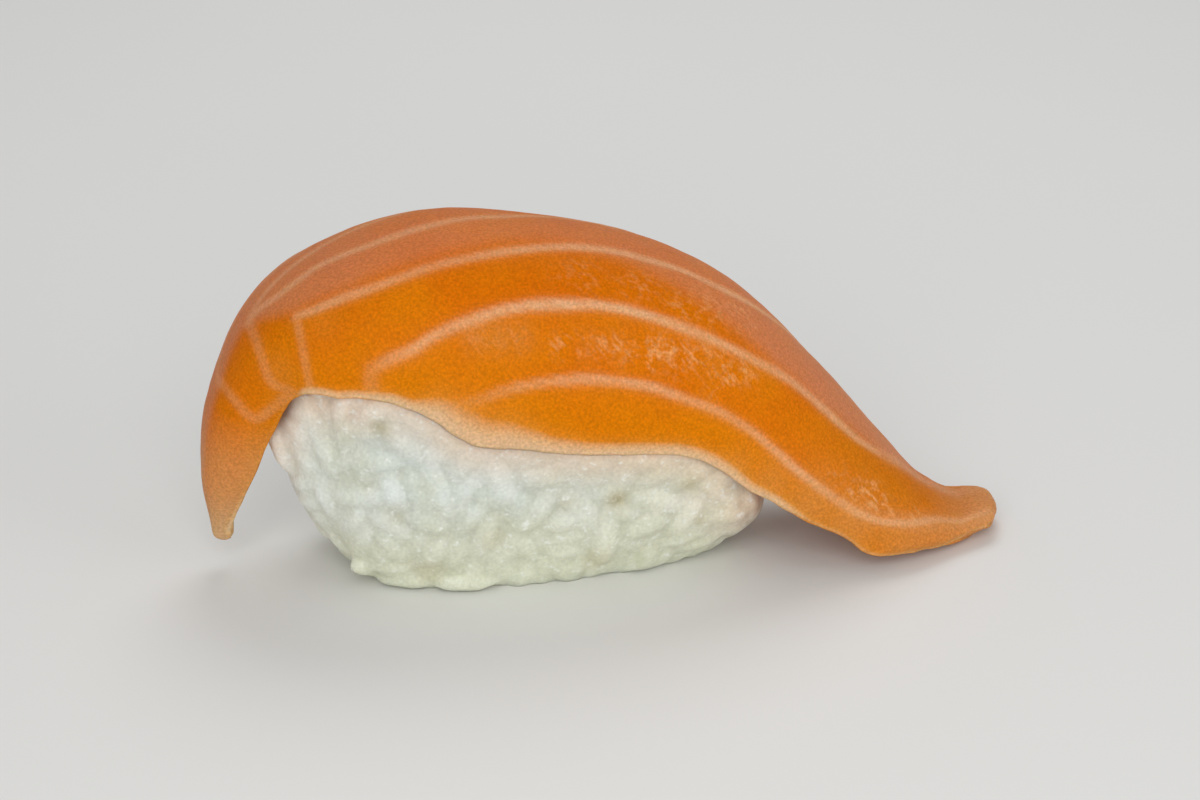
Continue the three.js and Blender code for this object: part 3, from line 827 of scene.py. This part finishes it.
def swollen(points):
    """Points of the rice moved out, or in, to lie flush with the slice's edges."""
    s = np.linspace(SWELL_FROM, SWELL_TO, SWELL_SAMPLES)
    edges = np.concatenate([outer_face(s, v) for v in (-1.0, 1.0)])
    i, away = nearest(points, edges)
    below = rise(edges[i, 2] + SWELL_ABOVE - points[:, 2], 0, SWELL_ABOVE)
    swell = np.minimum(SWELL * bell(away, SWELL_REACH), SWELL_MOST) * below
    points = points.copy()
    points[:, 1] += swell * (edges[i, 1] - points[:, 1])
    return points


def trim(piece, salmon):
    """Cuts away what the slice lies on and what is below the floor."""
    keep_out = new_object("keep_out", points_of(salmon.data), faces_of(salmon.data))
    move_points(keep_out.data, points_of(keep_out.data) + FIT_GAP * normals_of(keep_out.data))
    cut(piece, keep_out)
    half = FLOOR_CUT_HALF
    corners = [(x * half, y * half, z) for z in (-half, 0.0) for y in (-1, 1) for x in (-1, 1)]
    quads = [(0, 2, 3, 1), (4, 5, 7, 6), (0, 1, 5, 4), (1, 3, 7, 5), (3, 2, 6, 7), (2, 0, 4, 6)]
    cut(piece, new_object("below", corners, quads))
    drop_scraps(piece)


def nearest_grain(points, grains):
    """For each point, the number of the grain that it belongs to."""
    places = [centre + axis * (t * (length - GRAIN_WIDTH)) for centre, axis, _, _, length, _, _ in grains
              for t in np.linspace(-0.5, 0.5, GRAIN_SAMPLES)]
    return nearest(points, places)[0] // GRAIN_SAMPLES


def places_amount(points, places):
    """A strength at each point that fades away from some places of the rice."""
    amount = np.zeros(len(points))
    for x, y, z, reach, strength in places:
        away = np.linalg.norm((points - (x, y, z)) * PLACE_WEIGHTS, axis=1)
        amount = np.maximum(amount, strength * bell(away, reach))
    return amount


def build_rice(salmon):
    random = np.random.default_rng(SEED)
    ball = ball_object("ball", 0.0)
    grains = []
    for count, depth in GRAIN_LAYERS:
        grains += settle_grains(random, ball, count, depth)
    bpy.data.objects.remove(ball)
    grains += proud_grains()
    points, faces = [], []
    for shape in grains:
        faces += grain_faces(len(points))
        points += grain(*shape)
    piece = new_object("rice_grains", points, faces)
    core = ball_object("rice_core", CORE_INSET)
    core_tree = surface_tree(core.data)
    fuse(piece, core)
    points = points_of(piece.data)
    lumps = sum(height * smooth_noise(points, size, seed) for height, size, seed in LUMPS)
    move_points(piece.data, swollen(points + normals_of(piece.data) * lumps[:, None]))
    trim(piece, salmon)
    mesh = piece.data
    shade_smooth(mesh)
    points = points_of(mesh)
    x, _, z = points.T
    height = np.array([core_tree.find_nearest(Vector(p))[3] for p in points])
    away = nearest(points, points_of(salmon.data)[::TOUCH_EVERY])[1]
    touched = np.maximum(*(strength * bell(away, reach) for reach, strength in (TOUCH_NEAR, TOUCH_FAR)))
    add_attributes(mesh, {
        "tint": random.random(len(grains))[nearest_grain(points, grains)],
        "height": np.clip(height / (CORE_INSET + GRAIN_TOP), 0, 1),
        "blush": np.maximum(places_amount(points, STAINS), touched),
        # end: painted light, lighter ends against the shade where the ball curves away.
        "end": rise(np.abs(x - RICE_CENTRE[0]), END_LIGHT_FROM, END_LIGHT_REACH),
        "cool": rise(COOL_LEFT_OF - x, 0, COOL_REACH) * rise(z, COOL_ABOVE, COOL_RISE),
        "pit": places_amount(points, PITS),
        # foot: yellower, and painted lighter against the shade near the floor.
        "foot": np.clip(1 - z / FOOT_HEIGHT, 0, 1),
    })
    return piece


# -------- materials

# Turns the X axis to the streaks' direction: down at a slant, and a little out to the near side.
STREAK_TURN = (0.0, math.radians(50), math.radians(-20))
BUMP_DEPTH = 0.05


class Nodes:
    """A material's nodes, made and linked in one line each."""

    def __init__(self, name):
        self.material = bpy.data.materials.new(name)
        self.material.use_nodes = True
        self.tree = self.material.node_tree
        self.shader = self.tree.nodes["Principled BSDF"]

    def add(self, kind, settings=(), **inputs):
        node = self.tree.nodes.new(kind)
        for key, value in dict(settings).items():
            setattr(node, key, value)
        for key, value in inputs.items():
            self.put(node.inputs[key.replace("_", " ")], value)
        return node

    def put(self, socket, value):
        if isinstance(value, bpy.types.NodeSocket):
            self.tree.links.new(value, socket)
        else:
            socket.default_value = value

    def shade(self, **inputs):
        """Sets inputs of the shader itself."""
        for key, value in inputs.items():
            self.put(self.shader.inputs[key.replace("_", " ")], value)

    def attribute(self, name, share=1.0):
        value = self.add("ShaderNodeAttribute", {"attribute_name": name}).outputs["Fac"]
        return value if share == 1.0 else self.math("MULTIPLY", value, share)

    def math(self, operation, a, b):
        node = self.tree.nodes.new("ShaderNodeMath")
        node.operation = operation
        self.put(node.inputs[0], a)
        self.put(node.inputs[1], b)
        return node.outputs[0]

    def mix(self, amount, a, b):
        node = self.tree.nodes.new("ShaderNodeMix")
        node.data_type = "RGBA"
        self.put(node.inputs[0], amount)
        self.put(node.inputs[6], a)
        self.put(node.inputs[7], b)
        return node.outputs[2]

    def noise(self, size, detail=2.0):
        """Noise with bumps of about that size in millimetres, 0 to 1."""
        place = self.add("ShaderNodeTexCoord").outputs["Object"]
        scaled = self.add("ShaderNodeMapping", Vector=place, Scale=[1 / (size * MM)] * 3)
        node = self.add("ShaderNodeTexNoise", Vector=scaled.outputs[0], Scale=1.0, Detail=detail)
        return node.outputs["Fac"]

    def streaks(self, length, width):
        """Noise drawn out into short streaks that slant down the near side towards the tail, 0 to 1."""
        place = self.add("ShaderNodeTexCoord").outputs["Object"]
        turned = self.add("ShaderNodeMapping", {"vector_type": "TEXTURE"}, Vector=place,
                          Rotation=STREAK_TURN, Scale=[k * MM for k in (length, width, width)])
        node = self.add("ShaderNodeTexNoise", Vector=turned.outputs[0], Scale=1.0, Detail=3.0)
        return node.outputs["Fac"]

    def ramp(self, value, low, high, to_low=0.0, to_high=1.0):
        node = self.add("ShaderNodeMapRange", Value=value, From_Min=low, From_Max=high, To_Min=to_low,
                        To_Max=to_high)
        return node.outputs[0]

    def brightened(self, colour, value):
        return self.add("ShaderNodeHueSaturation", Color=colour, Value=value).outputs["Color"]

    def bump(self, height, strength):
        node = self.add("ShaderNodeBump", Height=height, Strength=strength, Distance=BUMP_DEPTH * MM)
        return node.outputs[0]


def srgb(*levels):
    """A colour given as it looks on screen, 0 to 255, as linear values."""
    shares = [level / 255 for level in levels]
    return (*(c / 12.92 if c <= 0.04045 else ((c + 0.055) / 1.055) ** 2.4 for c in shares), 1.0)


def salmon_material():
    n = Nodes("salmon_flesh")
    # The flesh, redder over the crest and paler at the edges and the tail.
    upper = n.mix(n.ramp(n.noise(8.0), 0.35, 0.65), srgb(203, 100, 0), srgb(206, 108, 0))
    lower = n.mix(n.ramp(n.noise(7.0), 0.35, 0.65), srgb(210, 110, 0), srgb(212, 118, 0))
    colour = n.mix(n.attribute("side"), upper, lower)
    colour = n.mix(n.attribute("low", 0.7), colour, srgb(210, 122, 0))
    colour = n.mix(n.attribute("tail", 0.6), colour, srgb(196, 112, 10))
    # Beside the fat lines, then the painted sheen on the crest, the soft patches and the two tips.
    colour = n.mix(n.attribute("outer", 0.25), colour, srgb(202, 92, 0))
    colour = n.mix(n.attribute("inner", 0.10), colour, srgb(218, 136, 30))
    # Painted sheen: the greyish pink veil that a bright sky leaves on the wet top, seen at a grazing angle.
    colour = n.mix(n.attribute("crest"), colour, srgb(200, 128, 90))
    colour = n.mix(n.attribute("patch"), colour, srgb(208, 142, 72))
    colour = n.mix(n.attribute("tip"), colour, srgb(198, 164, 122))
    # Flecks, broken up by streaks.
    specks = n.math("MAXIMUM", n.ramp(n.streaks(1.5, 0.6), 0.52, 0.70), n.ramp(n.noise(0.9, 4.0), 0.52, 0.72))
    flecks = n.math("MULTIPLY", n.math("MULTIPLY", specks, n.attribute("fleck")), 0.75)
    colour = n.mix(flecks, colour, srgb(232, 176, 118))
    # Fat lines, a little broken up too.
    broken = n.ramp(n.noise(1.4, 3.0), 0.25, 0.6, 0.75, 1.0)
    fat = n.math("MULTIPLY", n.math("MULTIPLY", n.attribute("fat"), broken), 0.72)
    colour = n.mix(fat, colour, srgb(226, 180, 136))
    # The pale rim over the rice, yellower first and then paler.
    colour = n.mix(n.attribute("pale", 0.65), colour, srgb(218, 162, 80))
    colour = n.mix(n.ramp(n.attribute("pale"), 0.3, 1.0, 0.0, 0.85), colour, srgb(218, 184, 148))
    n.shade(
        Base_Color=n.brightened(colour, n.ramp(n.noise(0.27, 4.0), 0.3, 0.7, 0.80, 1.15)),
        Roughness=n.ramp(n.noise(1.8, 3.0), 0.3, 0.7, 0.46, 0.60),
        Normal=n.bump(n.noise(0.45, 4.0), 0.35),
        Subsurface_Weight=0.3,
        Subsurface_Radius=(1.0, 0.30, 0.06),
        Subsurface_Scale=1.8 * MM,
        IOR=1.36,
        Specular_IOR_Level=0.06,
        Sheen_Weight=0.03,
        Sheen_Roughness=0.35,
        Sheen_Tint=(1.0, 0.86, 0.76, 1.0),
    )
    return n.material


def rice_material():
    n = Nodes("rice_cooked")
    # Each grain has its own tint, cooler towards the upper left, with yellowish and chalky places, and
    # painted shade darkens the hollows between the grains.
    warm = n.mix(n.attribute("tint"), srgb(207, 208, 190), srgb(220, 220, 205))
    cool = n.mix(n.attribute("tint"), srgb(206, 213, 206), srgb(220, 226, 221))
    colour = n.mix(n.attribute("cool"), warm, cool)
    yellowish = n.math("MULTIPLY", n.ramp(n.noise(6.0), 0.45, 0.7), 0.5)
    colour = n.mix(yellowish, colour, srgb(200, 202, 176))
    # Painted shade: the hollows between the grains, low under their tops, are darker and yellower.
    crease_shade = n.ramp(n.attribute("height"), 0.1, 0.6, 0.25, 0.0)
    colour = n.mix(crease_shade, colour, srgb(200, 199, 178))
    chalk = n.ramp(n.noise(2.4, 3.0), 0.55, 0.75, 0.0, 0.4)
    colour = n.mix(chalk, colour, srgb(228, 231, 224))
    # The foot and the two ends, painted lighter against their shade, then the salmon's stain and the pits.
    # Painted light: the foot is yellower, and lighter against the shade near the floor.
    colour = n.mix(n.attribute("foot", 0.6), colour, srgb(218, 222, 194))
    # Painted light: the ends are lighter against the shade where the ball curves away.
    colour = n.mix(n.attribute("end", 0.5), colour, srgb(238, 240, 228))
    colour = n.mix(n.attribute("blush", 0.75), colour, srgb(232, 192, 158))
    colour = n.mix(n.attribute("pit", 0.7), colour, srgb(170, 156, 108))
    glints = n.ramp(n.noise(0.6, 3.0), 0.58, 0.72, 0.0, 0.5)
    colour = n.mix(glints, colour, srgb(240, 243, 240))
    n.shade(
        Base_Color=n.brightened(colour, n.ramp(n.noise(0.35, 4.0), 0.3, 0.7, 0.90, 1.06)),
        Roughness=n.ramp(n.noise(1.2, 3.0), 0.3, 0.7, 0.36, 0.55),
        Normal=n.bump(n.noise(0.5, 4.0), 0.3),
        Subsurface_Weight=0.85,
        Subsurface_Radius=(1.0, 0.95, 0.88),
        Subsurface_Scale=2.8 * MM,
        Coat_Weight=0.08,
        Coat_Roughness=0.3,
        IOR=1.4,
    )
    return n.material


# -------- the studio

FLOOR_HALF = 1500.0
WORLD_STRENGTH = 0.39
LIGHT_AIM = (0, 0, 15)

CAMERA_AZIMUTH = -9.0
CAMERA_ELEVATION = 22.0
CAMERA_DISTANCE = 333.3
CAMERA_AIM = (-0.5, 0.4, 15.2)
CAMERA_LENS = 100
CAMERA_SENSOR = 36
CAMERA_NEAREST = 10


def add_floor():
    corners = [(x * FLOOR_HALF, y * FLOOR_HALF, 0) for x, y in ((-1, -1), (1, -1), (1, 1), (-1, 1))]
    floor = new_object("floor", corners, [(0, 1, 2, 3)])
    n = Nodes("floor_paint")
    n.shade(Base_Color=n.mix(n.noise(120.0), srgb(226, 226, 224), srgb(230, 230, 228)), Roughness=0.7)
    floor.data.materials.append(n.material)


def add_light(name, place, power, size):
    light = bpy.data.lights.new(name, "AREA")
    light.energy = power
    light.shape = "DISK"
    light.size = size * MM
    lamp = bpy.data.objects.new(name, light)
    lamp.location = [k * MM for k in place]
    lamp.rotation_euler = (Vector(LIGHT_AIM) - Vector(place)).to_track_quat("-Z", "Y").to_euler()
    bpy.context.scene.collection.objects.link(lamp)


def add_camera():
    azimuth, elevation = math.radians(CAMERA_AZIMUTH), math.radians(CAMERA_ELEVATION)
    back = Vector((math.sin(azimuth) * math.cos(elevation), -math.cos(azimuth) * math.cos(elevation),
                   math.sin(elevation)))
    data = bpy.data.cameras.new("camera")
    data.lens = CAMERA_LENS
    data.sensor_width = CAMERA_SENSOR
    data.clip_start = CAMERA_NEAREST * MM
    camera = bpy.data.objects.new("camera", data)
    camera.location = (Vector(CAMERA_AIM) + back * CAMERA_DISTANCE) * MM
    camera.rotation_euler = (-back).to_track_quat("-Z", "Y").to_euler()
    bpy.context.scene.collection.objects.link(camera)
    bpy.context.scene.camera = camera


def add_world():
    world = bpy.data.worlds.new("studio")
    world.use_nodes = True
    background = world.node_tree.nodes["Background"]
    background.inputs["Color"].default_value = (1, 1, 1, 1)
    background.inputs["Strength"].default_value = WORLD_STRENGTH
    bpy.context.scene.world = world


# -------- the scene

add_camera()
add_world()
add_floor()
add_light("key", (-110, -430, 240), 1.34, 400)
add_light("fill", (320, -260, 120), 0.38, 300)
add_light("top_back", (60, 260, 380), 0.6, 300)

salmon = build_slice()
salmon.data.materials.append(salmon_material())
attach(salmon, "root")
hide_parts("salmon_slice")

rice = build_rice(salmon)
rice.data.materials.clear()
rice.data.materials.append(rice_material())
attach(rice, "root")
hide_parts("rice")

bpy.context.scene.view_settings.view_transform = "Standard"
